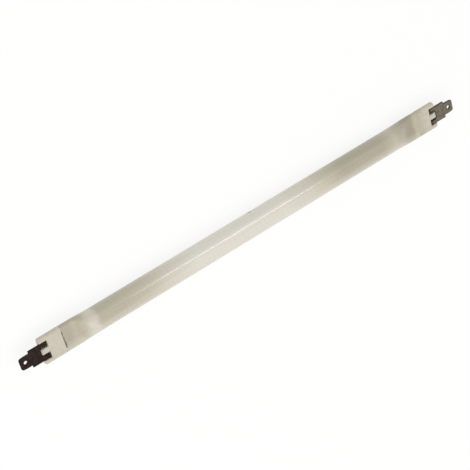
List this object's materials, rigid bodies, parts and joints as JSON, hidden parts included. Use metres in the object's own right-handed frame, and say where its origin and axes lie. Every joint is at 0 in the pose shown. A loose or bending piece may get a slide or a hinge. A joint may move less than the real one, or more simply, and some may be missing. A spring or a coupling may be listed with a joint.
{
  "type": "quartz heating tube",
  "caption": "Straight milky quartz heating tube with pressed flat ends, a resistance coil inside, ceramic heads and forked push-on tab terminals.",
  "frame": {"origin": "middle of the tube's axis, half way between the two ends", "axes": "+X along the tube towards the right terminal, +Z square to the flat ends on the side where the terminals show"},
  "size_m": [0.2588, 0.014, 0.012],
  "materials": {
    "milky_quartz": "satin, milky with fine drawn streaks",
    "steatite": "unglazed, matt",
    "oxidised_steel": "dark heat-oxidised",
    "worn_nickel_plate": "dull, worn plating",
    "nickel": "dull",
    "coil_alloy": "grey oxidised",
    "cement": "rough, matt"
  },
  "bodies": {
    "root": {"quartz_tube": "milky_quartz", "heating_coil": "coil_alloy", "left_head": "steatite", "right_head": "steatite", "left_terminal": "oxidised_steel", "right_terminal": "worn_nickel_plate", "left_lead_strip": "nickel", "right_lead_strip": "nickel", "left_crimp_sleeve": "nickel", "right_crimp_sleeve": "nickel", "left_cement_plug": "cement", "right_cement_plug": "cement"}
  },
  "joints": []
}
